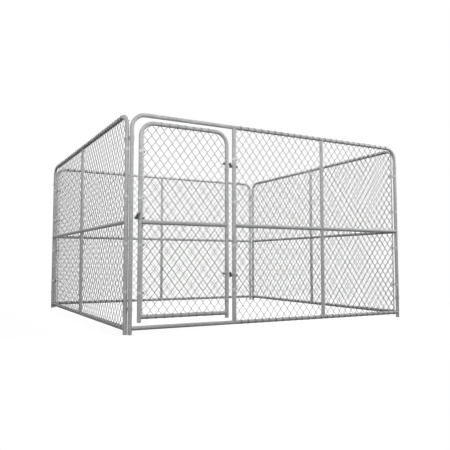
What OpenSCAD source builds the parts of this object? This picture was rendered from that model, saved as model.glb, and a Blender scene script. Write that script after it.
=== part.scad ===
// Outdoor dog kennel run: four chain-link panels clamped into a square, with a gate in the front one.
// Millimetres. +Z is up, the ground is z = 0, the origin is the middle of the floor, the front faces -Y.

/* [Panels] */
// Width of a panel over its two posts
panel_w = 3010; // [2400:10:3600]
// Height of a panel from the ground to the top of its rail
panel_h = 1829; // [1600:1:2000]
// Radius of the top corners at the middle of the tube
bend_r = 118; // [100:1:150]
// Height of the bottom rail's middle, which leaves short feet below it
foot_l = 51.3; // [45:0.1:80]
// Height of the mid rail's middle
mid_h = 914.5; // [800:0.5:1000]

/* [Tube] */
// Outside diameter of the frame tube
tube_d = 34.9; // [32:0.1:38]
// Wall of the frame tube
tube_wall = 1.4; // [1:0.1:2.5]
// Space that a weld fills where one tube is coped onto another
weld_gap = 0.2; // [0.1:0.05:0.5]

/* [Chain link] */
// Thickness of the fabric's wire
wire_d = 3.8; // [2:0.1:4]
// Width of a diamond before it is stretched to fit
diamond_w = 76.5; // [60:0.5:100]
// Height of a diamond before it is stretched to fit
diamond_h = 98; // [80:0.5:120]
// How far a wire runs past the middle of the rail that it is tied to
wire_over = 5; // [3:0.5:8]
// Thickness of the tie wires
tie_d = 3; // [2:0.1:3.5]
// Every how many diamonds the gate's hinge stile is tied
stile_tie_step = 3; // [1:1:6]

/* [Tension bars] */
// Room between a post and the near edge of its tension bar
bar_room = 5.5; // [4.5:0.1:10]
// Width of a tension bar
bar_w = 12; // [10:0.5:16]
// Thickness of a tension bar
bar_t = 4.8; // [4:0.1:6]
// Distance between the tension bands on a post
band_step = 400; // [350:5:420]
// Height of a tension band
band_h = 22; // [16:1:26]
// Thickness of a tension band
band_t = 1.8; // [1.2:0.1:2.2]
// Diameter of a band's bolt
band_bolt_d = 6; // [5:0.1:7]

/* [Corner clamps] */
// Height of the lower clamps' middle
clamp_low_h = 205; // [180:1:230]
// Height of the upper clamps' middle
clamp_high_h = 1608; // [1590:1:1630]
// Height of a clamp's saddles
clamp_h = 32; // [24:1:40]
// Thickness of a clamp's saddles
clamp_t = 2.4; // [2:0.1:3]
// Diameter of a clamp's bolt
clamp_bolt_d = 6; // [5:0.1:7]
// Room between a clamp's bolt and the posts on each side of it
clamp_bolt_room = 1.05; // [0.5:0.05:3]
// Depth of a saddle's web from the line between the posts
clamp_web = 13; // [12:0.1:14]
// Distance that a saddle's outer edges stop short of that line
clamp_lip = 2; // [1:0.5:5]

/* [Gate] */
// Distance from the left post's middle to the hinge post's middle
gate_bay = 966; // [900:1:1100]
// Distance from the left post's middle to the gate's left stile's middle
gate_latch_gap = 77.4; // [75:0.1:90]
// Drop from the panel's top rail to the gate's top rail
gate_drop = 61; // [45:0.5:80]
// Rise from the panel's bottom rail to the gate's bottom rail
gate_rise = 87.5; // [80:0.5:110]
// Length of stile left below the gate's bottom rail's middle
gate_foot_l = 45; // [30:0.5:50]

/* [Hinges] */
// Height of the upper hinge's strap on the post
hinge_high_h = 1450; // [1420:1:1480]
// Height of the lower hinge's strap on the post
hinge_low_h = 466; // [430:1:500]
// Height of the straps of the hinges and the latch
strap_h = 18; // [16:0.5:26]
// Thickness of those straps
strap_t = 3; // [2:0.1:3.4]
// Slit between the ears of a strap
strap_slit = 4; // [2:0.5:6]
// Width of the lug that carries a hinge's eye
lug_w = 13; // [10:0.5:18]
// Distance from the tube's surface to the hinge's axis
hinge_reach = 19.55; // [18:0.05:24]
// Diameter of a hinge's pin
pin_d = 12; // [10:0.1:13]
// Wall of the eye that turns on the pin
eye_wall = 4.5; // [3:0.1:6]
// Radial clearance of a pin that turns in its hole
run_fit = 0.05; // [0.02:0.01:0.1]
// Diameter of the bolts that close the straps
strap_bolt_d = 8; // [6:0.1:9]

/* [Latch] */
// Rise from the mid rail's middle to the latch
latch_rise = 31.5; // [30.5:0.5:60]
// Distance from the gate stile's middle to the fork's pivot
latch_reach = 32; // [30:0.5:36]
// Diameter of the fork's pivot pin
fork_pin_d = 8; // [6:0.1:9]
// Thickness of the fork's two arms
fork_t = 6; // [4:0.1:7]
// Room between an arm and the tube that it straddles
fork_room = 3.6; // [3.4:0.1:5]
// How far the arms reach past the post's middle when they are down
fork_past = 9; // [4:0.5:10]
// Gap between the fork's bridge and the cheeks that it rests on when it is thrown back
fork_rest = 0.3; // [0.2:0.05:0.5]

/* [Fits] */
// Clearance of pieces that are bolted or tied round a tube
fit = 0.15; // [0.1:0.05:0.3]
// Clearance under the flat of a bolt's head or a nut
seat = 0.05; // [0.02:0.01:0.1]

/* [Hidden] */
$fn = 64;
ZINC = [0.74, 0.75, 0.76];
WIRE = [0.80, 0.81, 0.82];
HARDWARE = [0.60, 0.61, 0.62];

// Tube and plan of the run
tube_r = tube_d / 2;
bore_r = tube_r - tube_wall;
half = (panel_w - tube_d) / 2;
top_z = panel_h - tube_r;
corner_pitch = tube_d + clamp_bolt_d + 2 * clamp_bolt_room;
plane_off = half + corner_pitch / sqrt(2);

// Front panel: the gate's bay, then two equal bays
axis_off = tube_r + hinge_reach;
hinge_x = -half + gate_bay;
upright_x = (hinge_x + half) / 2;
axis_x = hinge_x - axis_off;
gate_l = -half + gate_latch_gap;
gate_r = hinge_x - 2 * axis_off;
gate_top = top_z - gate_drop;
gate_low = foot_l + gate_rise;
gate_foot = gate_low - gate_foot_l;

// Fabric: two layers of wires behind the tubes, on the panel's inner side
wire_r = wire_d / 2;
front_layer = tube_r + fit + wire_r;
back_layer = front_layer + wire_d + fit;
fabric_out = back_layer + wire_r;
bar_y = front_layer - wire_r + band_t;
bar_off = tube_r + bar_room + bar_w / 2;
band_z = [for (k = [0:3]) mid_h + (k - 1.5) * band_step];
clamp_z = [clamp_low_h, clamp_high_h];
hinge_z = [hinge_low_h, hinge_high_h];
eye_rise = strap_h + fit;
latch_z = mid_h + latch_rise;

// Rings that hold the fabric to a tube
tie_r = tie_d / 2;
tie_ring = (tube_r + fabric_out) / 2 + fit + tie_r;
tie_y = (fabric_out - tube_r) / 2;

// Panels: side, turn about Z, fabric's span, and where its uprights stand
function turn(side) = side == "front" ? 0 : side == "left" ? -90 : side == "back" ? 180 : 90;
function uprights(side) = side == "front" ? [hinge_x, upright_x] : [0];
function first_post(side) = side == "front" ? hinge_x : -half;
SIDES = ["front", "left", "back", "right"];

module place(side) {
    rotate([0, 0, turn(side)]) translate([0, -plane_off, 0]) children();
}

// Straight round bar from p to q
module rod(p, q, r) {
    d = q - p;
    translate(p) rotate([0, acos(d.z / norm(d)), atan2(d.y, d.x)]) cylinder(r = r, h = norm(d));
}

// Bent bar: two legs from z = foot up to top, joined over the top with round corners
module bent_bar(x0, x1, foot, top, r) {
    bend_z = top - bend_r;
    for (x = [x0, x1]) rod([x, 0, foot], [x, 0, bend_z], r);
    rod([x0 + bend_r, 0, top], [x1 - bend_r, 0, top], r);
    for (m = [0, 1])
        translate([m == 0 ? x0 + bend_r : x1 - bend_r, 0, bend_z])
            mirror([1 - m, 0, 0]) rotate([90, 0, 0])
                rotate_extrude(angle = 90) translate([bend_r, 0]) circle(r);
}

module bent_tube(x0, x1, foot, top) {
    difference() {
        bent_bar(x0, x1, foot, top, tube_r);
        bent_bar(x0, x1, foot - 1, top, bore_r);
    }
}

// Level tube between two posts, coped onto them
module rail(x0, x1, z) {
    difference() {
        rod([x0, 0, z], [x1, 0, z], tube_r);
        rod([x0 - 1, 0, z], [x1 + 1, 0, z], bore_r);
        for (x = [x0, x1]) rod([x, 0, z - tube_d], [x, 0, z + tube_d], tube_r + weld_gap);
    }
}

// Upright tube between the bottom and the top rail, coped onto them
module upright(x) {
    difference() {
        rod([x, 0, foot_l], [x, 0, top_z], tube_r);
        rod([x, 0, foot_l - 1], [x, 0, top_z + 1], bore_r);
        for (z = [foot_l, top_z]) rod([x - tube_d, 0, z], [x + tube_d, 0, z], tube_r + weld_gap);
    }
}

module mid_rails(side) {
    posts = concat(side == "front" ? [] : [-half], uprights(side), [half]);
    for (k = [0:len(posts) - 2]) rail(posts[k], posts[k + 1], mid_h);
}

// A fabric is [first column x, last column x, bottom z, top z, hoop's left x, hoop's right x,
// whether it has a bar at the right, heights of the straps on its right stile, shift of its rows].
// Its crossings lie on half steps (i, j), i from the left and j from the top, with i + j + shift odd.
function panel_fabric(side) =
    [first_post(side) + bar_off, half - bar_off, foot_l, top_z, -half, half, true, [], 0];
gate_straps = [for (z = hinge_z) z + eye_rise];
gate_cloth = [gate_l + bar_off, gate_r, gate_low, gate_top, gate_l, gate_r, false, gate_straps, 1];
function columns(f) =
    f[6] ? 2 * round((f[1] - f[0]) / diamond_w) : round(2 * (f[1] - f[0]) / diamond_w);
function rows(f) = round(2 * (f[3] - f[2]) / diamond_h);
function half_step(f) = [(f[1] - f[0]) / columns(f), (f[3] - f[2]) / rows(f)];
function crossing(f, i, j) = (i + j + f[8]) % 2 != 0;

// Where the line p + t * d meets the bend's circle about c: the lower root for s = -1, the upper for s = 1
function bend_root(p, d, c, s) =
    let (w = p - c, b = w * d, q = b * b - w * w + pow(bend_r + wire_over, 2))
    q < 0 ? undef : -b + s * sqrt(q);
function past_bend(f, p) =
    let (left = p.x < f[4] + bend_r, right = p.x > f[5] - bend_r, c = bend_centre(f, p))
    (left || right) && p.y > f[3] - bend_r && norm(p - c) > bend_r + wire_over;
function bend_centre(f, p) =
    [p.x < (f[4] + f[5]) / 2 ? f[4] + bend_r : f[5] - bend_r, f[3] - bend_r];

// The end of a wire at t, drawn back to the bend where it would stand outside it
function drawn_back(f, p, d, t, s) =
    past_bend(f, p + t * d) ? bend_root(p, d, bend_centre(f, p + t * d), s) : t;

// The stretch [t0, t1] of the wire through crossing p in direction d that lies inside the frame
function stretch(f, p, d) =
    let (
        x0 = f[0] + bar_w / 2 + fit + wire_r,
        edge_z = p.y + (f[1] - p.x) * d.y / d.x,
        strapped = !f[6] && !clear_of(edge_z, f[7], strap_h / 2 + tube_r),
        x1 = f[6] ? f[1] - bar_w / 2 - fit - wire_r : strapped ? f[1] - tube_r : f[1] + wire_over,
        z = d.y > 0 ? [f[2] - wire_over, f[3] + wire_over] : [f[3] + wire_over, f[2] - wire_over],
        t0 = max((x0 - p.x) / d.x, (z[0] - p.y) / d.y),
        t1 = min((x1 - p.x) / d.x, (z[1] - p.y) / d.y)
    )
    [drawn_back(f, p, d, t0, -1), drawn_back(f, p, d, t1, 1)];

module wires(f, rise, y) {
    h = half_step(f);
    d = [h.x, rise * h.y] / norm(h);
    shortest = norm(h) / 2;
    for (i = [1 - rows(f):columns(f) + rows(f)])
        if (crossing(f, i, 0)) {
            p = [f[0] + i * h.x, f[3]];
            t = stretch(f, p, d);
            if (t[0] != undef && t[1] != undef)
                if (t[1] - t[0] > shortest) {
                    a = p + t[0] * d;
                    b = p + t[1] * d;
                    rod([a.x, y, a.y], [b.x, y, b.y], wire_r);
                }
        }
}

// Chain link: every wire that rises to the right lies in front of every one that falls
module fabric(f) {
    wires(f, 1, front_layer);
    wires(f, -1, back_layer);
}

// Flat bars at the fabric's ends, their tops cut to follow the bend
module tension_bars(f) {
    for (x = f[6] ? [f[0], f[1]] : [f[0]]) {
        in = min(abs(x - f[4]), abs(x - f[5]));
        reach = bend_r - in + bar_w / 2;
        top = reach > 0 ? f[3] - bend_r + sqrt(bend_r * bend_r - reach * reach) - tube_r : f[3];
        translate([x - bar_w / 2, bar_y, f[2]]) cube([bar_w, bar_t, top - f[2]]);
    }
}

module tie_at(axis, p) {
    turned = axis == "level" ? [0, 90, 0] : [0, 0, 0];
    translate([p.x, tie_y, p.y]) rotate(turned) rotate_extrude() translate([tie_ring, 0]) circle(tie_r);
}

function clear_of(v, places, room) = min([for (k = places) abs(v - k)]) > room;

// Rings at the crossings that lie on the top and the bottom rail, and on the right stile where no bar is
module ties(f, posts) {
    h = half_step(f);
    room = tube_r + tie_d;
    for (i = [1:columns(f) - 1]) {
        x = f[0] + i * h.x;
        straight = x > f[4] + bend_r && x < f[5] - bend_r;
        if (clear_of(x, posts, room)) {
            if (crossing(f, i, 0) && straight) tie_at("level", [x, f[3]]);
            if (crossing(f, i, rows(f))) tie_at("level", [x, f[2]]);
        }
    }
    if (!f[6])
        for (j = [1:rows(f) - 1]) {
            z = f[3] - j * h.y;
            tied = crossing(f, columns(f), j) && floor(j / 2) % stile_tie_step == 0;
            if (tied && z < f[3] - bend_r && clear_of(z, [f[2], mid_h], room))
                if (clear_of(z, f[7], strap_h / 2 + tube_r)) tie_at("upright", [f[1], z]);
        }
}

// Tension band in plan, for a post at the origin with its bar towards +X: a loop with two ears round the bar,
// which a bolt draws together beyond it
band_r = tube_r + fit;
ear_start = band_r + band_t + 1.5;
ear_y = [bar_y - fit - band_t / 2, bar_y + bar_t + fit + band_t / 2];
band_bolt_x = bar_off + (bar_w + band_bolt_d) / 2 + 4 * fit;
ear_end = band_bolt_x + band_bolt_d;

module strip(p, q, t) {
    translate(p) rotate(atan2(q.y - p.y, q.x - p.x)) translate([0, -t / 2]) square([norm(q - p), t]);
}

module band_plan() {
    mid_r = band_r + band_t / 2;
    leave = 35;
    start = [[mid_r * cos(leave), mid_r * sin(leave)], [0, mid_r]];
    difference() {
        union() {
            circle(band_r + band_t);
            for (k = [0, 1]) {
                strip(start[k], [ear_start, ear_y[k]], band_t);
                strip([ear_start - band_t / 2, ear_y[k]], [ear_end, ear_y[k]], band_t);
            }
        }
        circle(band_r);
    }
}

// Heights of a fabric's bands: band_z, each moved to the nearest row where no wire turns round the bar
function band_rows(f) =
    let (s = 2 * half_step(f).y) [for (z = band_z) f[3] - s * (round((f[3] - z) / s - f[8] / 2) + f[8] / 2)];

// Puts children at each band of a fabric, turned so that +X points from the post to the bar
module at_bands(f) {
    for (x = f[6] ? [f[0], f[1]] : [f[0]], z = band_rows(f)) {
        right = x > (f[0] + f[1]) / 2;
        translate([right ? x + bar_off : x - bar_off, 0, z]) mirror([right ? 1 : 0, 0, 0]) children();
    }
}

module band() {
    difference() {
        translate([0, 0, -band_h / 2]) linear_extrude(band_h) band_plan();
        rod([band_bolt_x, 0, 0], [band_bolt_x, 2 * fabric_out, 0], band_bolt_d / 2 + fit);
    }
}

// Carriage bolt along +Y with its head's flat at the origin, and the nut that goes on it
function nut_h(d) = 0.8 * d;

module carriage_bolt(d, l) {
    head_h = 0.5 * d;
    dome_r = 1.25 * d;
    rotate([-90, 0, 0]) {
        cylinder(d = d, h = l);
        intersection() {
            translate([0, 0, -head_h]) cylinder(d = 2 * d, h = head_h);
            translate([0, 0, dome_r - head_h]) sphere(r = dome_r);
        }
    }
}

module hex_nut(d) {
    rotate([-90, 0, 0]) difference() {
        cylinder(d = 1.9 * d, h = nut_h(d), $fn = 6);
        translate([0, 0, -1]) cylinder(d = d + 2 * fit, h = nut_h(d) + 2);
    }
}

// Seats of a bolt's head and of its nut along +Y, and the length that passes through both
band_seat = [ear_y[0] - band_t / 2 - seat, ear_y[1] + band_t / 2 + seat];
function bolt_l(seats, d) = seats[1] - seats[0] + nut_h(d) + d / 3;

module band_bolt() {
    translate([band_bolt_x, band_seat[0], 0]) carriage_bolt(band_bolt_d, bolt_l(band_seat, band_bolt_d));
}

module band_nut() {
    translate([band_bolt_x, band_seat[1], 0]) hex_nut(band_bolt_d);
}

// Corner clamp in plan: X joins the middles of the two posts, +Y points out of the run
module saddle_plan() {
    difference() {
        union() {
            for (s = [-1, 1]) translate([s * corner_pitch / 2, 0]) circle(band_r + clamp_t);
            translate([-corner_pitch / 2, clamp_web]) square([corner_pitch, clamp_t]);
        }
        for (s = [-1, 1]) translate([s * corner_pitch / 2, 0]) circle(band_r);
        translate([-corner_pitch / 2, 0]) square([corner_pitch, clamp_web]);
        translate([-2 * corner_pitch, clamp_lip - 2 * tube_d]) square([4 * corner_pitch, 2 * tube_d]);
    }
}

module saddle() {
    difference() {
        translate([0, 0, -clamp_h / 2]) linear_extrude(clamp_h) saddle_plan();
        rod([0, 0, 0], [0, 2 * clamp_web, 0], clamp_bolt_d / 2 + fit);
    }
}

clamp_seat = clamp_web + clamp_t + seat;

module at_corners() {
    middle = (half + plane_off) / 2;
    for (k = [0:3], z = clamp_z)
        rotate([0, 0, 90 * k]) translate([-middle, -middle, z]) rotate([0, 0, 135]) children();
}

// Strap round a tube at the origin: a split ring whose ears point to -X and are drawn together by a bolt
strap_r = tube_r + fit + strap_t;
strap_bolt_x = strap_r + strap_bolt_d;
strap_seat = strap_slit / 2 + strap_t + seat;

module strap_plan() {
    ear_l = strap_r + 2 * strap_bolt_d;
    difference() {
        union() {
            circle(strap_r);
            translate([-ear_l, -strap_slit / 2 - strap_t]) square([ear_l, strap_slit + 2 * strap_t]);
        }
        circle(band_r);
        translate([-ear_l - 1, -strap_slit / 2]) square([ear_l + 1, strap_slit]);
    }
}

module strap_bolt_hole() {
    rod([-strap_bolt_x, -strap_r, 0], [-strap_bolt_x, strap_r, 0], strap_bolt_d / 2 + fit);
}

module strap_bolt() {
    seats = [-strap_seat, strap_seat];
    translate([-strap_bolt_x, -strap_seat, 0]) carriage_bolt(strap_bolt_d, bolt_l(seats, strap_bolt_d));
}

module strap_nut() {
    translate([-strap_bolt_x, strap_seat, 0]) hex_nut(strap_bolt_d);
}

// Hinge strap: the ring carries a lug with an upright hole on the hinge's axis
eye_r = pin_d / 2 + run_fit + eye_wall;

module hinge_strap() {
    difference() {
        translate([0, 0, -strap_h / 2]) linear_extrude(strap_h) difference() {
            union() {
                strap_plan();
                translate([axis_off, 0]) circle(eye_r);
                translate([0, -lug_w / 2]) square([axis_off, lug_w]);
            }
            circle(band_r);
            translate([axis_off, 0]) circle(pin_d / 2 + run_fit);
        }
        strap_bolt_hole();
    }
}

// Hinge pin: a headed pin pushed up through the post's lug, standing proud for the gate's eye
module hinge_pin() {
    head_h = pin_d / 4;
    below = strap_h / 2 + seat;
    translate([0, 0, -below - head_h]) cylinder(d = pin_d + 2 * eye_wall, h = head_h);
    translate([0, 0, -below]) cylinder(d = pin_d, h = below + strap_h / 2 + eye_rise + pin_d / 2);
}

// Latch: a strap with two cheeks that carry the fork's pin beside the stile
fork_eye_r = fork_pin_d / 2 + 4;
cheek_in = 5;
cheek_t = 4;
arm_in = tube_r + fork_room;
fork_l = gate_latch_gap - latch_reach + fork_past;
bridge_r = 4;
bridge_x = fork_eye_r + 2 + bridge_r;
fork_lean = acos((fork_eye_r + bridge_r + fork_rest) / bridge_x);

module collar() {
    difference() {
        union() {
            translate([0, 0, -strap_h / 2]) linear_extrude(strap_h) strap_plan();
            for (s = [-1, 1])
                translate([0, s * (cheek_in + cheek_t / 2) + cheek_t / 2, 0]) rotate([90, 0, 0])
                    linear_extrude(cheek_t) {
                        translate([latch_reach, 0]) circle(fork_eye_r);
                        translate([0, -fork_eye_r]) square([latch_reach, 2 * fork_eye_r]);
                    }
        }
        translate([0, 0, -strap_h]) cylinder(r = band_r, h = 2 * strap_h);
        rod([latch_reach, -tube_d, 0], [latch_reach, tube_d, 0], fork_pin_d / 2 + run_fit);
        strap_bolt_hole();
    }
}

module fork_pin() {
    head_h = fork_pin_d / 2;
    out = arm_in + fork_t + 2 * fit;
    rod([0, -out, 0], [0, out, 0], fork_pin_d / 2);
    for (s = [-1, 1]) rod([0, s * out, 0], [0, s * (out + head_h), 0], 0.8 * fork_pin_d);
}

// One arm of the fork, from its eye at the origin to its rounded tip along +X
module fork_arm_plan() {
    tip_r = fork_eye_r / 2;
    difference() {
        union() {
            circle(fork_eye_r);
            polygon([[0, -fork_eye_r], [0, fork_eye_r], [fork_l - tip_r, tip_r], [fork_l - tip_r, -tip_r]]);
            translate([fork_l - tip_r, 0]) circle(tip_r);
        }
        circle(fork_pin_d / 2 + run_fit);
    }
}

module fork() {
    for (s = [-1, 1])
        translate([0, s * (arm_in + fork_t / 2) + fork_t / 2, 0]) rotate([90, 0, 0])
            linear_extrude(fork_t) fork_arm_plan();
    rod([bridge_x, -arm_in - fork_t / 2, 0], [bridge_x, arm_in + fork_t / 2, 0], bridge_r);
}

// Sub-parts of a panel
module panel_hoop(side) color(ZINC) place(side) bent_tube(-half, half, 0, top_z);
module panel_bottom_rail(side) color(ZINC) place(side) rail(-half, half, foot_l);
module panel_upright(side) color(ZINC) place(side) upright(side == "front" ? upright_x : 0);
module panel_mid_rails(side) color(ZINC) place(side) mid_rails(side);
module panel_cloth(side) color(WIRE) place(side) fabric(panel_fabric(side));
module panel_tension_bars(side) color(ZINC) place(side) tension_bars(panel_fabric(side));
module panel_ties(side) color(WIRE) place(side) ties(panel_fabric(side), uprights(side));
module hinge_post() color(ZINC) place("front") upright(hinge_x);

// Sub-parts that all four panels share
module tension_bands() color(ZINC) for (side = SIDES) place(side) at_bands(panel_fabric(side)) band();
module band_bolts() color(HARDWARE) for (side = SIDES) place(side) at_bands(panel_fabric(side)) band_bolt();
module band_nuts() color(HARDWARE) for (side = SIDES) place(side) at_bands(panel_fabric(side)) band_nut();
module clamp_outer_saddles() color(ZINC) at_corners() saddle();
module clamp_inner_saddles() color(ZINC) at_corners() mirror([0, 1, 0]) saddle();

module clamp_bolts() {
    color(HARDWARE) at_corners() mirror([0, 1, 0]) translate([0, -clamp_seat, 0])
        carriage_bolt(clamp_bolt_d, bolt_l([-clamp_seat, clamp_seat], clamp_bolt_d));
}

module clamp_nuts() {
    color(HARDWARE) at_corners() mirror([0, 1, 0]) translate([0, clamp_seat, 0]) hex_nut(clamp_bolt_d);
}

// Sub-parts of the hinges
module on_hinge_post() place("front") for (z = hinge_z) translate([hinge_x, 0, z]) children();
module on_gate_stile() place("front") for (z = hinge_z) translate([gate_r, 0, z + eye_rise]) children();
module hinge_post_straps() color(HARDWARE) on_hinge_post() mirror([1, 0, 0]) hinge_strap();
module hinge_pins() color(HARDWARE) on_hinge_post() translate([-axis_off, 0, 0]) hinge_pin();
module hinge_post_bolts() color(HARDWARE) on_hinge_post() mirror([1, 0, 0]) strap_bolt();
module hinge_post_nuts() color(HARDWARE) on_hinge_post() mirror([1, 0, 0]) strap_nut();
module gate_hinge_eyes() color(HARDWARE) on_gate_stile() hinge_strap();

// Sub-parts of the gate
module at_latch() place("front") translate([gate_l, 0, latch_z]) mirror([1, 0, 0]) children();
module gate_hoop() color(ZINC) place("front") bent_tube(gate_l, gate_r, gate_foot, gate_top);
module gate_bottom_rail() color(ZINC) place("front") rail(gate_l, gate_r, gate_low);
module gate_mid_rail() color(ZINC) place("front") rail(gate_l, gate_r, mid_h);
module gate_fabric() color(WIRE) place("front") fabric(gate_cloth);
module gate_tension_bar() color(ZINC) place("front") tension_bars(gate_cloth);

module gate_ties() color(WIRE) place("front") ties(gate_cloth, [gate_l, gate_r]);
module gate_bands() color(ZINC) place("front") at_bands(gate_cloth) band();
module gate_band_bolts() color(HARDWARE) place("front") at_bands(gate_cloth) band_bolt();
module gate_band_nuts() color(HARDWARE) place("front") at_bands(gate_cloth) band_nut();

module gate_strap_bolts() {
    color(HARDWARE) on_gate_stile() strap_bolt();
    color(HARDWARE) at_latch() strap_bolt();
}

module gate_strap_nuts() {
    color(HARDWARE) on_gate_stile() strap_nut();
    color(HARDWARE) at_latch() strap_nut();
}

// Sub-parts of the latch. The fork is thrown back, so that the gate is free to swing.
module latch_collar() color(HARDWARE) at_latch() collar();
module latch_pin() color(HARDWARE) at_latch() translate([latch_reach, 0, 0]) fork_pin();

module latch_fork() {
    color(HARDWARE) at_latch() translate([latch_reach, 0, 0]) rotate([0, -90 - fork_lean, 0]) fork();
}

panel_hoop("front");  // front_hoop
panel_bottom_rail("front");  // front_bottom_rail
hinge_post();  // front_hinge_post
panel_upright("front");  // front_upright
panel_mid_rails("front");  // front_mid_rails
panel_cloth("front");  // front_fabric
panel_tension_bars("front");  // front_tension_bars
panel_ties("front");  // front_ties
panel_hoop("left");  // left_hoop
panel_bottom_rail("left");  // left_bottom_rail
panel_upright("left");  // left_upright
panel_mid_rails("left");  // left_mid_rails
panel_cloth("left");  // left_fabric
panel_tension_bars("left");  // left_tension_bars
panel_ties("left");  // left_ties
panel_hoop("back");  // back_hoop
panel_bottom_rail("back");  // back_bottom_rail
panel_upright("back");  // back_upright
panel_mid_rails("back");  // back_mid_rails
panel_cloth("back");  // back_fabric
panel_tension_bars("back");  // back_tension_bars
panel_ties("back");  // back_ties
panel_hoop("right");  // right_hoop
panel_bottom_rail("right");  // right_bottom_rail
panel_upright("right");  // right_upright
panel_mid_rails("right");  // right_mid_rails
panel_cloth("right");  // right_fabric
panel_tension_bars("right");  // right_tension_bars
panel_ties("right");  // right_ties
tension_bands();
band_bolts();
band_nuts();
clamp_outer_saddles();
clamp_inner_saddles();
clamp_bolts();
clamp_nuts();
hinge_post_straps();
hinge_pins();
hinge_post_bolts();
hinge_post_nuts();
gate_hoop();
gate_bottom_rail();
gate_mid_rail();
gate_fabric();
gate_tension_bar();
gate_ties();
gate_bands();
gate_band_bolts();
gate_band_nuts();
gate_hinge_eyes();
gate_strap_bolts();
gate_strap_nuts();
latch_collar();
latch_pin();
latch_fork();
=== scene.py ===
"""Looks of the outdoor dog kennel run: chain link, ties, weld beads, galvanised finishes and the studio."""

import math

import bpy
import numpy as np
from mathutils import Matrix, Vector
from bpy.props import FloatProperty, FloatVectorProperty, IntProperty, PointerProperty


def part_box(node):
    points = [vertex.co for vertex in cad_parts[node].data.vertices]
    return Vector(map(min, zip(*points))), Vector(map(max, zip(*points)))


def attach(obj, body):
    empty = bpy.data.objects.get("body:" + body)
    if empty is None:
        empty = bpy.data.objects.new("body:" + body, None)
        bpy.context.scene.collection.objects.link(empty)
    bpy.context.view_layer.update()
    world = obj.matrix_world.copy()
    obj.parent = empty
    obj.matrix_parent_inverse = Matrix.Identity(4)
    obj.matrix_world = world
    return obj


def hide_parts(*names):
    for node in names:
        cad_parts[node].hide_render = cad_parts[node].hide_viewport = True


bl_info = {
    "name": "Dog Kennel Run",
    "version": (1, 0, 0),
    "blender": (4, 5, 0),
    "location": "3D View > Sidebar > Kennel",
    "description": "Dresses the kennel run's frame with chain link, weld beads and galvanised finishes",
    "category": "Object",
}

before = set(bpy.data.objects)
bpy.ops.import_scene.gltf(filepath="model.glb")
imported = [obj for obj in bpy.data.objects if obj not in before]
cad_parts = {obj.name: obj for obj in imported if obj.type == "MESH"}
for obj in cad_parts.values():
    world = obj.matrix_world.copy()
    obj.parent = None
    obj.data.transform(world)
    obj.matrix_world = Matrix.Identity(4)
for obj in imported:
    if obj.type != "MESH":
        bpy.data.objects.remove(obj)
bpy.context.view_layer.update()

# Turn of each panel about Z from the front one, in degrees
SIDES = {"front": 0, "left": -90, "back": 180, "right": 90}


def turn(degrees):
    """Matrix that turns row vectors back by that angle about Z, so its transpose turns them forward."""
    c, s = math.cos(math.radians(degrees)), math.sin(math.radians(degrees))
    return np.array([[c, -s, 0], [s, c, 0], [0, 0, 1]])


def span(node):
    """Lowest and highest corner of a frame node in its own panel's axes, where the panel faces -Y."""
    low, high = (np.array(corner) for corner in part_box(node))
    side = node.split("_")[0]
    turned = np.array([low, high]) @ turn(SIDES.get(side, 0))
    return turned.min(0), turned.max(0)


def middle(node):
    """Middle of a frame node's box in its own panel's axes."""
    low, high = span(node)
    return (low + high) / 2


def extent(node):
    """Width, depth and height of a frame node's box in its own panel's axes."""
    low, high = span(node)
    return high - low


# Sizes of the frame: the tube's outside, the front panel's plane, a tension bar, the fabric and a strap's
# height. The middles of bar and fabric are counted from the panel's plane.
TUBE = float(extent("front_upright")[0])
PLANE = float(middle("front_hoop")[1])
BAR = extent("gate_tension_bar")
BAR_MIDDLE = float(middle("gate_tension_bar")[1]) - PLANE
CLOTH_MIDDLE = float(middle("front_fabric")[1]) - PLANE
CLOTH_DEPTH = float(extent("front_fabric")[1])
STRAP = float(extent("latch_collar")[2])

# Room that the frame's fabric leaves beside each of its two layers, and that a tie leaves round its tube
LAYER_ROOM = 0.00008
TIE_ROOM = 0.00008

# Each lamp's place, target, width and height in metres, and the angle of its beam
LAMPS = {
    "key": ((-1.4, -5.0, 3.2), (-0.9, -1.5, 1.3), (3.0, 1.0), math.pi),
    "top": ((0.4, -0.3, 3.4), (0.8, 0.9, 0.7), (2.5, 2.0), math.pi),
    "fill": ((-7.0, -3.6, 3.0), (-0.5, -0.5, 1.0), (4.0, 2.0), math.pi),
    "inner": ((-0.5, -0.9, 2.9), (0.5, 1.6, 0.7), (1.2, 1.2), math.radians(130)),
    "side": ((3.2, -2.7, 2.8), (-0.6, -1.5, 1.2), (1.5, 1.0), math.pi),
    "back": ((5.0, 6.5, 4.2), (0, 0, 0.9), (3.0, 3.0), math.pi),
    "rear": ((-3.2, 6.4, 3.4), (-0.2, 0.8, 0.9), (3.0, 3.0), math.pi),
}


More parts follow.
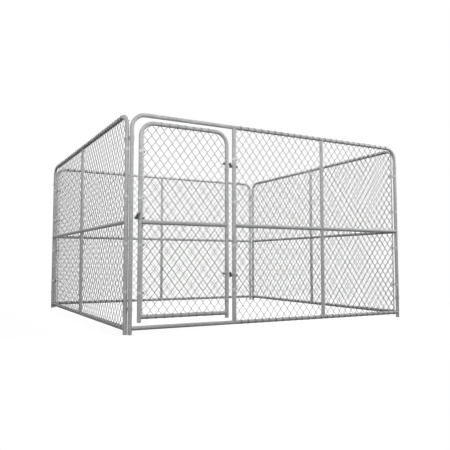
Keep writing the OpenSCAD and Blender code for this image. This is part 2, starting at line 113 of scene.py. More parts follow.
class KennelFabric(bpy.types.PropertyGroup):
    """Sizes of the chain-link fabric and its ties."""

    wire: FloatProperty(
        name="Wire",
        description="Thickness of the fabric's wire",
        default=CLOTH_DEPTH / 2 - LAYER_ROOM,
        unit="LENGTH",
    )
    width: FloatProperty(
        name="Diamond width", description="Width of a diamond", default=0.0765, unit="LENGTH"
    )
    height: FloatProperty(
        name="Diamond height", description="Height of a diamond", default=0.098, unit="LENGTH"
    )
    behind: FloatProperty(
        name="Behind the tube",
        description="From the tube's middle to the fabric's",
        default=CLOTH_MIDDLE,
        unit="LENGTH",
    )
    bend: FloatProperty(
        name="Sharpness",
        description="How sharp a picket's bends are",
        default=0.992,
        min=0.5,
        max=0.999,
        subtype="FACTOR",
    )
    corner: FloatProperty(
        name="Corner",
        description="Radius of the hoops' corners at the tube's middle",
        default=0.118,
        unit="LENGTH",
    )
    tie: FloatProperty(
        name="Tie wire", description="Thickness of the tie wire", default=0.003, unit="LENGTH"
    )
    fold: FloatProperty(
        name="Tie fold",
        description="Radius of a tie's fold behind the fabric",
        default=0.011,
        unit="LENGTH",
    )
    winds: FloatProperty(
        name="Winds",
        description="Turns of a panel's tie round rail and fabric",
        default=1.75,
        min=1.25,
        subtype="UNSIGNED",
    )
    gate_winds: FloatProperty(
        name="Gate winds",
        description="Turns of a gate's tie round rail and fabric",
        default=1.25,
        min=1.25,
        subtype="UNSIGNED",
    )
    stile_step: IntProperty(
        name="Stile ties",
        description="Every how many diamonds the gate's hinge stile is tied",
        default=3,
        min=1,
        subtype="UNSIGNED",
    )


class KennelWelds(bpy.types.PropertyGroup):
    """Sizes of the weld beads."""

    bead: FloatProperty(
        name="Bead", description="Half thickness of a weld bead", default=0.0024, unit="LENGTH"
    )
    ripples: IntProperty(
        name="Ripples", description="Ripples round a bead", default=22, min=4, subtype="UNSIGNED"
    )


class KennelFinish(bpy.types.PropertyGroup):
    """Colours of the finishes."""

    tube: FloatVectorProperty(
        name="Tube",
        description="Zinc of the posts, uprights and hoops",
        default=(0.53, 0.534, 0.538),
        subtype="COLOR",
        min=0,
        max=1,
    )
    # Rails take a darker copy of the tubes' zinc: painted shade for how the light falls on level tubes
    rail: FloatVectorProperty(
        name="Rails",
        description="Duller zinc of the level tubes",
        default=(0.455, 0.459, 0.463),
        subtype="COLOR",
        min=0,
        max=1,
    )
    wire: FloatVectorProperty(
        name="Wire",
        description="Zinc of the wires",
        default=(0.06, 0.061, 0.062),
        subtype="COLOR",
        min=0,
        max=1,
    )
    # The hardware colour is painted shade: a dark copy of zinc for the pins, bolts, nuts, fork and the
    # straps' ears and lugs
    hardware: FloatVectorProperty(
        name="Hardware",
        description="Dull zinc of the pins, bolts and nuts",
        default=(0.10, 0.101, 0.103),
        subtype="COLOR",
        min=0,
        max=1,
    )
    # Bars and bands take a much lighter copy of the tubes' zinc: painted light that makes up for the shade
    # they sit in
    bar: FloatVectorProperty(
        name="Bars",
        description="Bright zinc of the tension bars and bands",
        default=(0.74, 0.744, 0.748),
        subtype="COLOR",
        min=0,
        max=1,
    )
    weld: FloatVectorProperty(
        name="Welds",
        description="Zinc of the weld beads",
        default=(0.44, 0.444, 0.448),
        subtype="COLOR",
        min=0,
        max=1,
    )
    floor: FloatVectorProperty(
        name="Floor",
        description="Colour that the floor throws back",
        default=(0.10, 0.10, 0.10),
        subtype="COLOR",
        min=0,
        max=1,
    )


class KennelStudio(bpy.types.PropertyGroup):
    """Camera and lights."""

    place: FloatVectorProperty(
        name="Camera",
        description="Where the camera stands",
        default=(-2.90, -5.71752, 0.58567),
        subtype="TRANSLATION",
    )
    heading: FloatProperty(
        name="Heading",
        description="Turn of the camera from +Y towards +X",
        default=math.radians(28.564),
        subtype="ANGLE",
    )
    pitch: FloatProperty(
        name="Pitch",
        description="How far the camera looks up",
        default=math.radians(3.952),
        subtype="ANGLE",
    )
    lens: FloatProperty(
        name="Lens",
        description="Focal length on a 36 mm frame",
        default=42.9086,
        subtype="DISTANCE_CAMERA",
    )
    key: FloatProperty(
        name="Key light", description="Power of the light before the gate", default=106, subtype="POWER"
    )
    top: FloatProperty(
        name="Top light", description="Power of the light over the run", default=40, subtype="POWER"
    )
    fill: FloatProperty(
        name="Fill light", description="Power of the light at the left", default=114, subtype="POWER"
    )
    inner: FloatProperty(
        name="Inner light",
        description="Power of the light on the far panels' insides",
        default=30,
        subtype="POWER",
    )
    side: FloatProperty(
        name="Side light", description="Power of the light at the right", default=79, subtype="POWER"
    )
    back: FloatProperty(
        name="Back light", description="Power of the light behind on the right", default=480, subtype="POWER"
    )
    rear: FloatProperty(
        name="Rear light", description="Power of the light behind on the left", default=90, subtype="POWER"
    )
    sky: FloatProperty(
        name="Sky",
        description="Strength of the light from all round",
        default=0.03,
        min=0,
        subtype="UNSIGNED",
    )


class Value:
    """A node's output in a material. Arithmetic on it adds Math nodes."""

    def __init__(self, sheet, socket):
        self.sheet, self.socket = sheet, socket

    def math(self, operation, first, second):
        """Math node of that operation on two values or numbers."""
        return self.sheet.node("ShaderNodeMath", {"operation": operation}, {0: first, 1: second})

    def __add__(self, other):
        return self.math("ADD", self, other)

    __radd__ = __add__

    def __sub__(self, other):
        return self.math("SUBTRACT", self, other)

    def __rsub__(self, other):
        return self.math("SUBTRACT", other, self)

    def __mul__(self, other):
        return self.math("MULTIPLY", self, other)

    __rmul__ = __mul__


class Sheet:
    """The node tree of a material or a world."""

    def __init__(self, owner):
        owner.use_nodes = True
        self.tree = owner.node_tree
        self.tree.nodes.clear()

    def node(self, kind, settings, inputs, output=0):
        """Adds a node of that type, makes its settings, fills or links its sockets and returns an output."""
        made = self.tree.nodes.new(kind)
        for name, value in settings.items():
            setattr(made, name, value)
        for name, value in inputs.items():
            if isinstance(value, Value):
                self.tree.links.new(value.socket, made.inputs[name])
            else:
                made.inputs[name].default_value = value
        return Value(self, made.outputs[output]) if len(made.outputs) else None

    def vector(self, operation, inputs, output=0):
        """Vector Math node of that operation."""
        return self.node("ShaderNodeVectorMath", {"operation": operation}, inputs, output)

    def blend(self, factor, first, second):
        """Colour between two, by a factor from 0 to 1."""
        settings = {"data_type": "RGBA", "clamp_factor": True}
        return self.node("ShaderNodeMix", settings, {0: factor, 6: first, 7: second}, 2)

    def ramp(self, value, low, high, interpolation="LINEAR"):
        """0 up to low, 1 from high on, and between them in between."""
        settings = {"interpolation_type": interpolation}
        return self.node("ShaderNodeMapRange", settings, {0: value, 1: low, 2: high, 3: 0.0, 4: 1.0})

    def seen(self):
        """1 for rays from the camera and for mirrored and transmitted ones, and 0 for the rest."""
        camera = self.node("ShaderNodeLightPath", {}, {}, "Is Camera Ray")
        glossy = self.node("ShaderNodeLightPath", {}, {}, "Is Glossy Ray")
        passed = self.node("ShaderNodeLightPath", {}, {}, "Is Transmission Ray")
        return camera + glossy + passed


# Noises of the zinc, by their sockets: clouds of grey along a tube, and the grain of its skin
CLOUDS = {"Scale": 7.0, "Detail": 4.0, "Roughness": 0.6}
GRAINS = {"Scale": 420.0, "Detail": 3.0, "Roughness": 0.6}

# How far clouds and grain shift the grey, and its darkest and brightest share of the finish's colour
CLOUD_SHADE, GRAIN_SHADE = 0.55, 0.35
DARKEST, BRIGHTEST = 0.72, 1.28

# How far crystals and grain shift the roughness, how high they stand, and how strong that relief is
CRYSTAL_ROUGH, GRAIN_ROUGH = 0.16, 0.14
CRYSTAL_RISE, GRAIN_RISE = 0.3, 0.7
RELIEF = 0.35

# Weathered zinc mirrors little, or the white studio would wash it out
METALLIC, SPECULAR = 0.05, 0.05

# Distances from a tube's skin between which a strap turns from its ring's zinc to the dark hardware colour
# of its ears and lugs, which is painted shade
RING_END, EAR_START = 0.003, 0.007

# Roughness, crystals a metre, contrast of the crystals and depth of the pits
TUBE_SKIN = (0.42, 95.0, 0.5, 0.0003)
WELD_SKIN = (0.55, 300.0, 0.4, 0.0004)
BAR_SKIN = (0.40, 120.0, 0.4, 0.0002)
WIRE_SKIN = (0.40, 260.0, 0.6, 0.0001)
HARDWARE_SKIN = (0.48, 180.0, 0.4, 0.0003)
STRAP_SKIN = (0.45, 140.0, 0.45, 0.0003)


def rgba(colour, gain=1.0):
    """Colour with each channel times gain, and alpha 1."""
    return tuple(min(1.0, c * gain) for c in colour) + (1.0,)


def zinc(name, colour, rough, spangle, contrast, pit, darkened=None):
    """Galvanised steel. Cells of crystals, spangle a metre, and two noises shift its grey and its roughness.
    Where darkened holds a tube's middle and a colour, what stands out from that tube takes that colour as
    painted shade."""
    made = bpy.data.materials.new(name)
    s = Sheet(made)
    place = s.node("ShaderNodeTexCoord", {}, {}, "Object")
    sockets = {"Vector": place, "Scale": spangle, "Randomness": 1.0}
    cells = s.node("ShaderNodeTexVoronoi", {}, sockets, "Color")
    crystal = s.node("ShaderNodeSeparateColor", {}, {0: cells}, 0)
    cloud = s.node("ShaderNodeTexNoise", {}, {"Vector": place, **CLOUDS})
    grain = s.node("ShaderNodeTexNoise", {}, {"Vector": place, **GRAINS})
    shade = 0.5 + (crystal - 0.5) * contrast + (cloud - 0.5) * CLOUD_SHADE + (grain - 0.5) * GRAIN_SHADE
    skin = s.blend(shade, rgba(colour, DARKEST), rgba(colour, BRIGHTEST))
    if darkened:
        # Painted shade: what stands out from the tube, the strap's ears and lugs, takes the darker colour
        away = s.vector("SUBTRACT", {0: place, 1: darkened[0]})
        away = s.vector("MULTIPLY", {0: away, 1: (1, 1, 0)})
        reach = s.vector("LENGTH", {0: away}, "Value")
        ear_shade = s.ramp(reach, TUBE / 2 + RING_END, TUBE / 2 + EAR_START)
        skin = s.blend(ear_shade, skin, s.blend(shade, rgba(darkened[1], DARKEST), rgba(darkened[1], BRIGHTEST)))
    roughness = rough + (crystal - 0.5) * CRYSTAL_ROUGH + (grain - 0.5) * GRAIN_ROUGH
    height = crystal * CRYSTAL_RISE + grain * GRAIN_RISE
    normal = s.node("ShaderNodeBump", {}, {"Strength": RELIEF, "Distance": pit, "Height": height})
    sockets = {
        "Base Color": skin,
        "Roughness": roughness,
        "Metallic": METALLIC,
        "Specular IOR Level": SPECULAR,
        "Normal": normal,
    }
    shader = s.node("ShaderNodeBsdfPrincipled", {}, sockets)
    s.node("ShaderNodeOutputMaterial", {}, {"Surface": shader})
    return made


def finish_of(name):
    """The finish of that name, made on its first use."""
    sets = bpy.context.scene.kennel_finish
    finishes = {
        "tube_zinc": (sets.tube, *TUBE_SKIN),
        "rail_zinc": (sets.rail, *TUBE_SKIN),
        "weld_zinc": (sets.weld, *WELD_SKIN),
        "bar_zinc": (sets.bar, *BAR_SKIN),
        "wire_zinc": (sets.wire, *WIRE_SKIN),
        "hardware_zinc": (sets.hardware, *HARDWARE_SKIN),
    }
    return bpy.data.materials.get(name) or zinc(name, *finishes[name])


def coat(node, finish):
    """Gives a frame node one finish."""
    node.data.materials.clear()
    node.data.materials.append(finish)


def coat_all(endings, name):
    """Gives every frame node whose name has one of those endings the finish of that name."""
    for node_name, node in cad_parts.items():
        if node_name.endswith(endings):
            coat(node, finish_of(name))


def put_mesh(name, points, quads, finish, body, replaced=()):
    """A smooth piece at the origin, from an array of points and one of four-cornered faces. It rides on a
    body, and stands for the replaced nodes."""
    mesh = bpy.data.meshes.new(name)
    mesh.vertices.add(len(points))
    mesh.vertices.foreach_set("co", points.astype(np.float32).ravel())
    mesh.loops.add(quads.size)
    mesh.loops.foreach_set("vertex_index", quads.astype(np.int32).ravel())
    mesh.polygons.add(len(quads))
    mesh.polygons.foreach_set("loop_start", np.arange(0, quads.size, 4, dtype=np.int32))
    mesh.polygons.foreach_set("use_smooth", np.ones(len(quads), bool))
    mesh.update(calc_edges=True)
    mesh.materials.append(finish_of(finish))
    piece = bpy.data.objects.new(name, mesh)
    bpy.context.scene.collection.objects.link(piece)
    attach(piece, body)
    if replaced:
        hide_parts(*replaced)


def unit(vectors):
    """Vectors of length 1 along the last axis."""
    return vectors / np.linalg.norm(vectors, axis=-1, keepdims=True)


def swept(paths, radius, lean, closed=False):
    """Six-sided bars along paths (k, n, 3): path + radius * (cos a * u + sin a * v), on a grid of path point
    and angle a. u is lean made square to the path, v is the path's direction times u. Open bars get flat
    ends."""
    sides = 6
    if closed:
        along = np.roll(paths, -1, axis=1) - np.roll(paths, 1, axis=1)
    else:
        along = np.gradient(paths, axis=1)
    along = unit(along)
    u = unit(lean - (lean * along).sum(-1, keepdims=True) * along)
    v = np.cross(along, u)
    a = np.linspace(0, 2 * np.pi, sides, endpoint=False)[:, None]
    radius = np.broadcast_to(np.asarray(radius, float), paths.shape[:2])[:, :, None, None]
    points = paths[:, :, None] + radius * (np.cos(a) * u[:, :, None] + np.sin(a) * v[:, :, None])
    count, length = paths.shape[:2]
    index = np.arange(count * length * sides).reshape(count, length, sides)
    beside = np.roll(index, -1, axis=2)
    if closed:
        onward = np.roll(beside, -1, axis=1), np.roll(index, -1, axis=1)
        quads = np.stack([index, beside, *onward], -1).reshape(-1, 4)
    else:
        walls = np.stack([index[:, :-1], beside[:, :-1], beside[:, 1:], index[:, 1:]], -1).reshape(-1, 4)
        ends = [index[:, -1][:, [0, 1, 2, 3]], index[:, -1][:, [0, 3, 4, 5]]]
        starts = [index[:, 0][:, [0, 5, 4, 3]], index[:, 0][:, [0, 3, 2, 1]]]
        quads = np.concatenate([walls, *ends, *starts])
    return points.reshape(-1, 3), quads


def joined(parts):
    """One pair of points and faces from several."""
    starts = np.cumsum([0] + [len(points) for points, _ in parts[:-1]])
    return (
        np.concatenate([points for points, _ in parts]),
        np.concatenate([quads + start for start, (_, quads) in zip(starts, parts)]),
    )


def stood(points, side):
    """Points of a panel's own axes, with Y from its plane, in the frame's axes."""
    return (points + [0, PLANE, 0]) @ turn(SIDES[side]).T


def eased(values, start, length):
    """0 up to start, 1 a length further on, and straight between."""
    return np.clip((values - start) / length, 0, 1)


class Cloth:
    """Where a fabric's crossings lie: columns from left to right, rows from the top down. Its posts are the
    middles of the tubes at its two ends, shift moves its crossings by a row, and bars says which ends have
    a tension bar."""

    # How far a bend may stand outside the middle of a hoop's round corner
    CORNER_ROOM = 0.008

    # Where a picket's path has points, in rows from each bend, for most pickets and for those round a bar
    STEPS = (-0.2, -0.065, 0.065, 0.2)
    BAR_STEPS = (-0.3, -0.16, -0.08, -0.03, 0.03, 0.08, 0.16, 0.3)

    # How far a picket runs past its first and last bend, and how far its other points may, in rows
    END, MOST = 0.11, 0.08

    # How gently a picket passes from front to back, and its legs' offsets across and in depth, in wires
    EASE = 0.12
    ACROSS, DEEP = 0.54, 0.53

    # Where in its swing an end picket moves to its bar's depth, and where it reaches round the bar's edge,
    # each as start and length
    TO_BAR = (0.15, 0.45)
    ROUND_BAR = (0.72, 0.25)

    # Room that it takes beside the bar's edge and before its faces, in wires
    BAR_EDGE, BAR_FACE = 0.1, 0.55

    def __init__(self, left, right, low, high, posts, shift=0, bars=(True, True)):
        sets = bpy.context.scene.kennel_fabric
        self.left, self.right, self.low, self.high = left, right, low, high
        across = (right - left) / sets.width
        self.columns = 2 * round(across) if bars[1] else round(2 * across)
        self.rows = round(2 * (high - low) / sets.height)
        self.step = np.array([(right - left) / self.columns, (high - low) / self.rows])
        self.posts, self.shift, self.bars = posts, shift, bars

    def first_row(self, picket):
        """The first row of a picket's bends that lies inside the hoop's round corners."""
        radius = bpy.context.scene.kennel_fabric.corner
        rows = np.arange(self.rows)
        columns = picket + (rows + picket + self.shift + 1) % 2
        x = self.left + columns * self.step[0]
        past = np.maximum(self.posts[0] + radius - x, x - self.posts[1] + radius)
        rise = radius - rows * self.step[1]
        inside = (past <= 0) | (rise <= 0) | (np.hypot(past, rise) <= radius + self.CORNER_ROOM)
        return int(np.argmax(inside))

    def pickets(self, numbers, first, at_bar):
        """Centrelines of zigzag pickets, as an array (picket, point, 3). With w the row counted down and k
        the picket's number and the shift, a picket swings as asin(b cos(pi (w + k))) between its columns. It
        lies in front where sin(pi (w + k)) is positive and behind where it is negative, so that each hooks
        into the next. At a tension bar it goes round the bar instead."""
        sets = bpy.context.scene.kennel_fabric
        near = np.array(self.BAR_STEPS if at_bar else self.STEPS)
        w = (np.arange(first, self.rows + 1)[:, None] + near).ravel()
        w = np.concatenate([[first - self.END], w[w > first - self.MOST]])
        w = np.concatenate([w[w < self.rows + self.MOST], [self.rows + self.END]])[None]
        k = np.asarray(numbers, float)[:, None]
        turns = np.pi * (w + k + self.shift)
        swing = np.arcsin(sets.bend * np.cos(turns)) / math.asin(sets.bend)
        depth = np.sin(turns)
        depth = depth / np.sqrt(depth**2 + self.EASE**2)
        x = self.left + (k + 0.5) * self.step[0] + (self.step[0] / 2 + self.ACROSS * sets.wire) * swing
        y = sets.behind - self.DEEP * sets.wire * depth
        for end, sign, number in ((0, -1, 0), (1, 1, self.columns - 1)):
            ends_here = (k == number) * float(self.bars[end])
            reach = ends_here * (BAR[0] / 2 + self.BAR_EDGE * sets.wire)
            x = x + sign * reach * eased(sign * swing, *self.ROUND_BAR)
            beside = BAR_MIDDLE - (BAR[1] / 2 + self.BAR_FACE * sets.wire) * depth
            y = y + ends_here * eased(sign * swing, *self.TO_BAR) * (beside - y)
        z = self.high - w * self.step[1] + 0 * k
        return np.stack(np.broadcast_arrays(x, y, z), -1)

    def tied(self, uprights):
        """Where the fabric is tied, as points (x, 0, z): the crossings on its top and bottom rail that are
        clear of uprights and corners, and then those on a right stile without a bar, clear of its rails and
        straps."""
        sets = bpy.context.scene.kennel_fabric
        room = TUBE / 2 + sets.tie
        i, j = np.arange(1, self.columns), np.arange(1, self.rows)
        x, z = self.left + i * self.step[0], self.high - j * self.step[1]
        clear = (np.abs(x[:, None] - np.array(uprights)) > room).all(1)
        straight = (x > self.posts[0] + sets.corner) & (x < self.posts[1] - sets.corner)
        top = x[clear & straight & ((i + self.shift) % 2 == 1)]
        foot = x[clear & ((i + self.rows + self.shift) % 2 == 1)]
        level = [(v, 0, self.high) for v in top] + [(v, 0, self.low) for v in foot]
        if self.bars[1]:
            return np.array(level), np.zeros((0, 3))
        eyes = span("gate_hinge_eyes")
        straps = [eyes[0][2] + STRAP / 2, eyes[1][2] - STRAP / 2]
        keep = ((self.columns + j + self.shift) % 2 == 1) & (j // 2 % sets.stile_step == 0)
        keep &= (z < self.high - sets.corner) & (np.abs(z - self.low) > room)
        keep &= np.abs(z - middle("gate_mid_rail")[2]) > room
        keep &= (np.abs(z[:, None] - straps) > (STRAP + TUBE) / 2).all(1)
        return np.array(level), np.array([(self.right, 0, v) for v in z[keep]])

    def mesh(self):
        """Points and faces of all pickets."""
        sets = bpy.context.scene.kennel_fabric
        starts = np.array([self.first_row(k) for k in range(self.columns)])
        at_bar = np.zeros(self.columns, bool)
        at_bar[0], at_bar[-1] = self.bars
        parts = []
        for first in np.unique(starts):
            for bar in (False, True):
                numbers = np.flatnonzero((starts == first) & (at_bar == bar))
                if len(numbers):
                    paths = self.pickets(numbers, first, bar)
                    parts.append(swept(paths, sets.wire / 2, np.array([0.0, 1.0, 0.0])))
        return joined(parts)


def posts_of(hoop):
    """Where the middles of a hoop's two legs stand."""
    low, high = span(hoop)
    return low[0] + TUBE / 2, high[0] - TUBE / 2


def panel_cloth(side):
    """The fabric of a panel: between its two tension bars, from its bottom rail to its top rail."""
    bars, hoop = span(f"{side}_tension_bars"), span(f"{side}_hoop")
    left, right = bars[0][0] + BAR[0] / 2, bars[1][0] - BAR[0] / 2
    low, high = middle(f"{side}_bottom_rail")[2], hoop[1][2] - TUBE / 2
    return Cloth(left, right, low, high, posts_of(f"{side}_hoop"))


def gate_cloth():
    """The gate's fabric: from its tension bar to its right stile."""
    stiles = posts_of("gate_hoop")
    left, low = middle("gate_tension_bar")[0], middle("gate_bottom_rail")[2]
    high = span("gate_hoop")[1][2] - TUBE / 2
    return Cloth(left, stiles[1], low, high, stiles, 1, (True, False))


class KENNEL_OT_fabric(bpy.types.Operator):
    """Weaves the chain-link fabric of the four panels and of the gate"""

    bl_idname = "kennel.fabric"
    bl_label = "Chain link"

    def execute(self, context):
        for side in SIDES:
            points, quads = panel_cloth(side).mesh()
            points = stood(points, side)
            put_mesh(f"{side}_chain_link", points, quads, "wire_zinc", "run", [f"{side}_fabric"])
        points, quads = gate_cloth().mesh()
        put_mesh("gate_chain_link", stood(points, "front"), quads, "wire_zinc", "gate", ["gate_fabric"])
        return {"FINISHED"}


RIGHTWARD, LEFTWARD, UPWARD, DOWNWARD = (1, 0, 0), (-1, 0, 0), (0, 0, 1), (0, 0, -1)


def uprights_of(side):
    """Where the middles of a panel's uprights stand between its posts."""
    hinge_post = [middle("front_hinge_post")[0]] if side == "front" else []
    return hinge_post + [middle(f"{side}_upright")[0]]


def panel_joints(side):
    """Where a panel's tubes are welded: rows of joint, way of the branch tube and way of the main tube."""
    left, right = posts_of(f"{side}_hoop")
    top, foot = span(f"{side}_hoop")[1][2] - TUBE / 2, middle(f"{side}_bottom_rail")[2]
    mid = middle(f"{side}_mid_rails")[2]
    uprights = uprights_of(side)
    posts = (uprights if side == "front" else [left] + uprights) + [right]
    rows = [((left, 0, foot), RIGHTWARD, UPWARD), ((right, 0, foot), LEFTWARD, UPWARD)]
    rows += [((x, 0, foot), UPWARD, RIGHTWARD) for x in uprights]
    rows += [((x, 0, top), DOWNWARD, RIGHTWARD) for x in uprights]
    rows += [((x, 0, mid), RIGHTWARD, UPWARD) for x in posts[:-1]]
    rows += [((x, 0, mid), LEFTWARD, UPWARD) for x in posts[1:]]
    return np.array(rows, float)


def gate_joints():
    """Where the gate's tubes are welded, in rows like a panel's."""
    ends = zip(posts_of("gate_hoop"), (RIGHTWARD, LEFTWARD))
    heights = [middle("gate_bottom_rail")[2], middle("gate_mid_rail")[2]]
    return np.array([((x, 0, z), way, UPWARD) for x, way in ends for z in heights], float)


# Points round a bead, and as shares of its thickness the depth of its ripples and its thinnest place
BEAD_POINTS = 72
RIPPLE = 0.13
THINNEST = 0.55


def weld_beads(joints):
    """Beads along the line where two equal tubes meet: joint + r (|sin f| A + cos f N + sin f M) for f round
    the branch, with A the way of the branch, M that of the main tube and N square to both. The bead is a
    rippled bar."""
    sets = bpy.context.scene.kennel_welds
    f = np.linspace(0, 2 * np.pi, BEAD_POINTS, endpoint=False)[None, :, None]
    joint, branch, main = (joints[:, None, i] for i in range(3))
    third = np.cross(branch, main)
    r = TUBE / 2
    paths = joint + r * (np.abs(np.sin(f)) * branch + np.cos(f) * third + np.sin(f) * main)
    lean = (np.cos(f) * third + np.sin(f) * main) + (np.abs(np.sin(f)) * branch + np.cos(f) * third)
    ripple = 1 + RIPPLE * np.sin(sets.ripples * f[..., 0]) * np.ones((len(joints), 1))
    radius = sets.bead * (THINNEST + (1 - THINNEST) * np.abs(np.sin(f[..., 0]))) * ripple
    return swept(paths, radius, lean, closed=True)


class KENNEL_OT_welds(bpy.types.Operator):
    """Runs a bead round every welded joint of the tubes"""

    bl_idname = "kennel.welds"
    bl_label = "Weld beads"

    def execute(self, context):
        for side in SIDES:
            points, quads = weld_beads(panel_joints(side))
            put_mesh(f"{side}_welds", stood(points, side), quads, "weld_zinc", "run")
        points, quads = weld_beads(gate_joints())
        put_mesh("gate_welds", stood(points, "front"), quads, "weld_zinc", "gate")
        return {"FINISHED"}


# Points in a turn of a tie, its pitch in thicknesses, and where it starts, in half turns from the inner side
TURN_POINTS = 24
TIE_PITCH = 1.15
TIE_START = -0.25


def wound_ties(level, upright, winds):
    """Ties at points on level tubes and on upright ones: a wire wound that many times round tube and fabric.
    Its path across the tube is c + r (sin f, cos f), for f from the inner side round and back. c and r are
    those of the circle round the tube or of the fold behind the fabric, whichever reaches further that way.
    Along the tube it goes with f."""
    sets = bpy.context.scene.kennel_fabric
    wrap = TUBE / 2 + TIE_ROOM + sets.tie / 2
    centre = sets.behind + CLOTH_DEPTH / 2 + TIE_ROOM + sets.tie / 2 - sets.fold
    f = np.linspace(TIE_START, 2 * winds + TIE_START, round(TURN_POINTS * winds) + 1) * np.pi
    folded = centre * np.cos(f) + sets.fold > wrap
    radius = np.where(folded, sets.fold, wrap)
    across, deep = radius * np.sin(f), np.where(folded, centre, 0) + radius * np.cos(f)
    along = TIE_PITCH * sets.tie * (f - f.mean()) / (2 * np.pi)
    flat = np.zeros(len(f))
    kinds = (
        (level, (along, deep, across), (flat, np.cos(f), np.sin(f))),
        (upright, (across, deep, along), (np.sin(f), np.cos(f), flat)),
    )
    parts = []
    for places, path, away in kinds:
        if len(places):
            paths = places[:, None] + np.stack(path, -1)
            parts.append(swept(paths, sets.tie / 2, np.stack(away, -1)))
    return joined(parts)


class KENNEL_OT_ties(bpy.types.Operator):
    """Winds the wire ties that hold the fabric to the rails"""

    bl_idname = "kennel.ties"
    bl_label = "Ties"

    def execute(self, context):
        sets = context.scene.kennel_fabric
        for side in SIDES:
            points, quads = wound_ties(*panel_cloth(side).tied(uprights_of(side)), sets.winds)
            put_mesh(f"{side}_wire_ties", stood(points, side), quads, "wire_zinc", "run", [f"{side}_ties"])
        points, quads = wound_ties(*gate_cloth().tied(posts_of("gate_hoop")), sets.gate_winds)
        put_mesh("gate_wire_ties", stood(points, "front"), quads, "wire_zinc", "gate", ["gate_ties"])
        return {"FINISHED"}


class KENNEL_OT_tubes(bpy.types.Operator):
    """Galvanises the tubes, the tension bars, the bands and the clamps"""

    bl_idname = "kennel.tubes"
    bl_label = "Tubes"

    def execute(self, context):
        coat_all(("_hoop", "_post", "_upright", "_saddles"), "tube_zinc")
        coat_all(("_rail", "_rails"), "rail_zinc")
        coat_all(("_bars", "_bar", "_bands"), "bar_zinc")
        return {"FINISHED"}


class KENNEL_OT_hardware(bpy.types.Operator):
    """Gives the pins, bolts, nuts and fork a zinc darkened with painted shade, and the straps bright rings
    whose ears and lugs carry the same painted shade
    """

    bl_idname = "kennel.hardware"
    bl_label = "Hardware"

    def execute(self, context):
        coat_all(("_bolts", "_nuts", "_pins", "_pin", "_fork"), "hardware_zinc")
        sets, stiles = context.scene.kennel_finish, posts_of("gate_hoop")
        tubes = {
            "hinge_post_straps": middle("front_hinge_post")[0],
            "gate_hinge_eyes": stiles[1],
            "latch_collar": stiles[0],
        }
        for name, x in tubes.items():
            # Painted shade: the straps' ears and lugs take the hardware's dark colour
            darkened = (float(x), PLANE, 0.0), sets.hardware
            coat(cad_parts[name], zinc(f"{name}_zinc", sets.tube, *STRAP_SKIN, darkened))
        return {"FINISHED"}


def lamp(name, place, target, size, spread, power):
    """A lamp of that width and height at a place, turned to a target, with a beam of that angle."""
    data = bpy.data.lights.new(name, "AREA")
    data.shape, data.energy = "RECTANGLE", power
    data.size, data.size_y = size
    data.spread = spread
    made = bpy.data.objects.new(name, data)
    bpy.context.scene.collection.objects.link(made)
    made.location = place
    made.rotation_mode = "QUATERNION"
    made.rotation_quaternion = (Vector(target) - Vector(place)).to_track_quat("-Z", "Y")


WHITE = (1, 1, 1, 1)

# Half width of the floor, and how far it lies below the feet
FLOOR_REACH, FLOOR_DROP = 60.0, 0.0005

# Grey and glow that make up the floor's white, and the distances between which its shadow fades out
FLOOR_GREY, FLOOR_GLOW = 0.17, 0.88
FADE_START, FADE_END = 2.2, 4.5

# Width of the camera's frame in millimetres, and the nearest and furthest that it sees in metres
FRAME_WIDTH = 36.0
NEAREST, FURTHEST = 0.05, 200


def floor_finish():
    """Floor: white with a faint shadow where it is looked at or mirrored, and darker to the light it throws
    back. Its shadow fades with the distance from the middle, so that it has no edge against the backdrop."""
    made = bpy.data.materials.new("studio_floor")
    s = Sheet(made)
    seen = s.seen()
    darkened = s.node("ShaderNodeBsdfDiffuse", {}, {"Color": rgba(bpy.context.scene.kennel_finish.floor)})
    pale = s.node("ShaderNodeBsdfDiffuse", {}, {"Color": rgba(3 * (FLOOR_GREY,))})
    glow = s.node("ShaderNodeEmission", {}, {"Color": WHITE, "Strength": FLOOR_GLOW})
    near = s.node("ShaderNodeAddShader", {}, {0: pale, 1: glow})
    far = s.node("ShaderNodeEmission", {}, {"Color": WHITE, "Strength": 1.0})
    place = s.node("ShaderNodeTexCoord", {}, {}, "Object")
    reach = s.vector("LENGTH", {0: place}, "Value")
    fade = s.ramp(reach, FADE_START, FADE_END, "SMOOTHSTEP")
    white = s.node("ShaderNodeMixShader", {}, {0: fade, 1: near, 2: far})
    both = s.node("ShaderNodeMixShader", {}, {0: seen, 1: darkened, 2: white})
    s.node("ShaderNodeOutputMaterial", {}, {"Surface": both})
    return made


def put_floor():
    """The floor: one wide square just below the feet."""
    ends = (-FLOOR_REACH, FLOOR_REACH)
    mesh = bpy.data.meshes.new("floor")
    mesh.from_pydata([(x, y, -FLOOR_DROP) for y in ends for x in ends], [], [(0, 1, 3, 2)])
    mesh.materials.append(floor_finish())
    floor = bpy.data.objects.new("floor", mesh)
    bpy.context.scene.collection.objects.link(floor)


def put_backdrop(strength):
    """World: white where it is looked at or mirrored, and a grey sky of that strength to everything else."""
    world = bpy.data.worlds.new("studio")
    s = Sheet(world)
    seen = s.seen()
    sky = s.node("ShaderNodeBackground", {}, {"Color": WHITE, "Strength": strength})
    white = s.node("ShaderNodeBackground", {}, {"Color": WHITE, "Strength": 1.0})
    both = s.node("ShaderNodeMixShader", {}, {0: seen, 1: sky, 2: white})
    s.node("ShaderNodeOutputWorld", {}, {"Surface": both})
    bpy.context.scene.world = world


def put_camera():
    """The camera, where the photograph was taken from."""
    scene, sets = bpy.context.scene, bpy.context.scene.kennel_studio
    data = bpy.data.cameras.new("camera")
    data.sensor_fit, data.sensor_width, data.lens = "HORIZONTAL", FRAME_WIDTH, sets.lens
    data.clip_start, data.clip_end = NEAREST, FURTHEST
    camera = bpy.data.objects.new("camera", data)
    scene.collection.objects.link(camera)
    camera.location = sets.place
    camera.rotation_euler = (math.pi / 2 + sets.pitch, 0, -sets.heading)
    scene.camera = camera


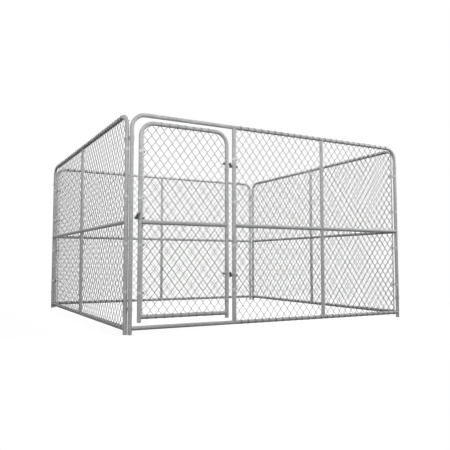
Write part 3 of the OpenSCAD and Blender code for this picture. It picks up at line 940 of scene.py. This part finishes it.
class KENNEL_OT_stage(bpy.types.Operator):
    """Sets the pale floor, the soft lights and the camera"""

    bl_idname = "kennel.stage"
    bl_label = "Studio"

    def execute(self, context):
        sets = context.scene.kennel_studio
        put_floor()
        put_backdrop(sets.sky)
        for name, (place, target, size, spread) in LAMPS.items():
            lamp(f"{name}_light", place, target, size, spread, getattr(sets, name))
        put_camera()
        context.scene.view_settings.view_transform = "Standard"
        return {"FINISHED"}


class KENNEL_PT_sidebar(bpy.types.Panel):
    """Lists the settings of the kennel run and the steps that dress it"""

    bl_idname = "KENNEL_PT_sidebar"
    bl_label = "Dog Kennel Run"
    bl_space_type = "VIEW_3D"
    bl_region_type = "UI"
    bl_category = "Kennel"

    def draw(self, context):
        for group in GROUPS:
            sets = getattr(context.scene, group)
            for name in sets.__annotations__:
                self.layout.prop(sets, name)
        for operator in OPERATORS:
            self.layout.operator(operator.bl_idname)


GROUPS = {
    "kennel_fabric": KennelFabric,
    "kennel_welds": KennelWelds,
    "kennel_finish": KennelFinish,
    "kennel_studio": KennelStudio,
}
OPERATORS = (
    KENNEL_OT_tubes,
    KENNEL_OT_ties,
    KENNEL_OT_hardware,
    KENNEL_OT_fabric,
    KENNEL_OT_welds,
    KENNEL_OT_stage,
)


def register():
    """Adds the settings, the steps and the panel."""
    for made in (*GROUPS.values(), *OPERATORS, KENNEL_PT_sidebar):
        bpy.utils.register_class(made)
    for name, group in GROUPS.items():
        setattr(bpy.types.Scene, name, PointerProperty(type=group))


def unregister():
    """Takes away what register adds."""
    for name in GROUPS:
        delattr(bpy.types.Scene, name)
    for made in (KENNEL_PT_sidebar, *reversed(OPERATORS), *reversed(GROUPS.values())):
        bpy.utils.unregister_class(made)


def main():
    """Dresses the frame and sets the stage."""
    register()
    bpy.ops.kennel.tubes()
    bpy.ops.kennel.ties()
    bpy.ops.kennel.hardware()
    bpy.ops.kennel.fabric()
    bpy.ops.kennel.welds()
    bpy.ops.kennel.stage()
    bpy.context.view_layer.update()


if __name__ == "__main__":
    main()
